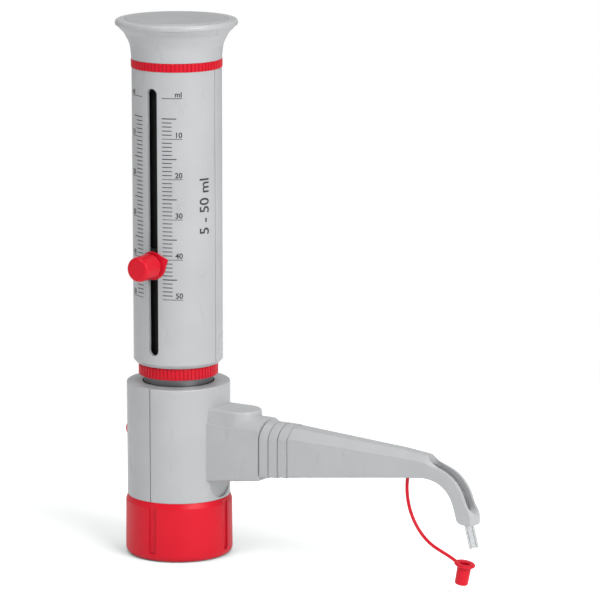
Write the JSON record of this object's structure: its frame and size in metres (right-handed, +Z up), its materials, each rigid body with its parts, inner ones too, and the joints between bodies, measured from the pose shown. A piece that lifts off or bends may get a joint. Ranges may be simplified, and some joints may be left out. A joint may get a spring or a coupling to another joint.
{
  "type": "bottle-top dispenser",
  "caption": "Bottle-top liquid dispenser: threaded collar, valve housing with discharge arm and spout, and a lifting plunger sleeve with slot, scale and clamped volume stop.",
  "frame": {"origin": "on the tower's axis where the collar's bottle thread starts, 1.6 mm above the collar's foot", "axes": "+Z up the tower, +X along the discharge arm, -Y the side with the volume slot"},
  "size_m": [0.2064, 0.0678, 0.2743],
  "materials": {
    "grey_plastic": "satin",
    "red_plastic": "satin",
    "black_plastic": "matt",
    "clear_glass": "polished",
    "clear_tubing": "clear",
    "white_fluoroplastic": "smooth",
    "ceramic": "polished",
    "rubber": "matt",
    "steel": "brushed"
  },
  "bodies": {
    "base": {"valve_housing_front": "grey_plastic", "valve_housing_rear": "grey_plastic", "valve_block": "white_fluoroplastic", "intake_adapter": "white_fluoroplastic", "inlet_valve_seat": "ceramic", "outlet_valve_body": "white_fluoroplastic", "outlet_valve_seat": "ceramic", "outlet_valve_spring": "steel", "outlet_valve_plug": "white_fluoroplastic", "tube_gland": "white_fluoroplastic", "bottle_gasket": "rubber", "collar_snap_ring": "steel", "cylinder_gasket": "rubber", "glass_cylinder": "clear_glass", "cylinder_ferrule": "steel", "guide_tube": "black_plastic", "guide_bush": "black_plastic", "discharge_tube": "clear_tubing", "discharge_arm": "grey_plastic", "vent_plug": "red_plastic"},
    "collar": {"thread_collar": "red_plastic"},
    "plunger": {"sleeve_front": "grey_plastic", "sleeve_rear": "grey_plastic", "top_handle": "grey_plastic", "handle_cover": "grey_plastic", "piston_rod": "steel", "piston_head": "white_fluoroplastic", "piston_seal": "white_fluoroplastic", "rod_screw": "steel"},
    "upper_ring": {"upper_lock_ring": "red_plastic"},
    "lower_ring": {"lower_lock_ring": "red_plastic"},
    "setter": {"clamp_shoe": "black_plastic", "clamp_stud": "steel", "pointer_plate": "red_plastic"},
    "knob": {"clamp_knob": "red_plastic"},
    "inlet_valve_ball": {"inlet_ball": "ceramic"},
    "outlet_valve_ball": {"outlet_ball": "ceramic"},
    "cap": {"tip_cap": "red_plastic"}
  },
  "joints": [
    {"name": "plunger_lift", "type": "slide", "parent": "base", "child": "plunger", "axis": [0, 0, 1], "range_m": [0, 0.0815]},
    {"name": "volume_set", "type": "slide", "parent": "plunger", "child": "setter", "axis": [0, 0, 1], "range_m": [-0.0203, 0.0712]},
    {"name": "knob_turn", "type": "hinge", "parent": "setter", "child": "knob", "pos_m": [0, -0.032, 0.1504], "axis": [0, -1, 0], "range_deg": [0, 180]},
    {"name": "collar_spin", "type": "hinge", "parent": "base", "child": "collar", "pos_m": [0, 0, 0.014], "axis": [0, 0, 1], "continuous": true},
    {"name": "upper_ring_turn", "type": "hinge", "parent": "plunger", "child": "upper_ring", "pos_m": [0, 0, 0.2506], "axis": [0, 0, 1], "range_deg": [0, 90]},
    {"name": "lower_ring_turn", "type": "hinge", "parent": "base", "child": "lower_ring", "pos_m": [0, 0, 0.0939], "axis": [0, 0, 1], "range_deg": [0, 90]},
    {"name": "inlet_ball_lift", "type": "slide", "parent": "base", "child": "inlet_valve_ball", "axis": [0, 0, 1], "range_m": [0, 0.0015]},
    {"name": "outlet_ball_lift", "type": "slide", "parent": "base", "child": "outlet_valve_ball", "axis": [0, 0, 1], "range_m": [0, 0.0015], "deforming": ["outlet_valve_spring"]},
    {"name": "cap_swivel", "type": "hinge", "parent": "base", "child": "cap", "pos_m": [0.1356, 0, 0.0555], "axis": [0, 0, 1], "range_deg": [-150, 150]}
  ]
}
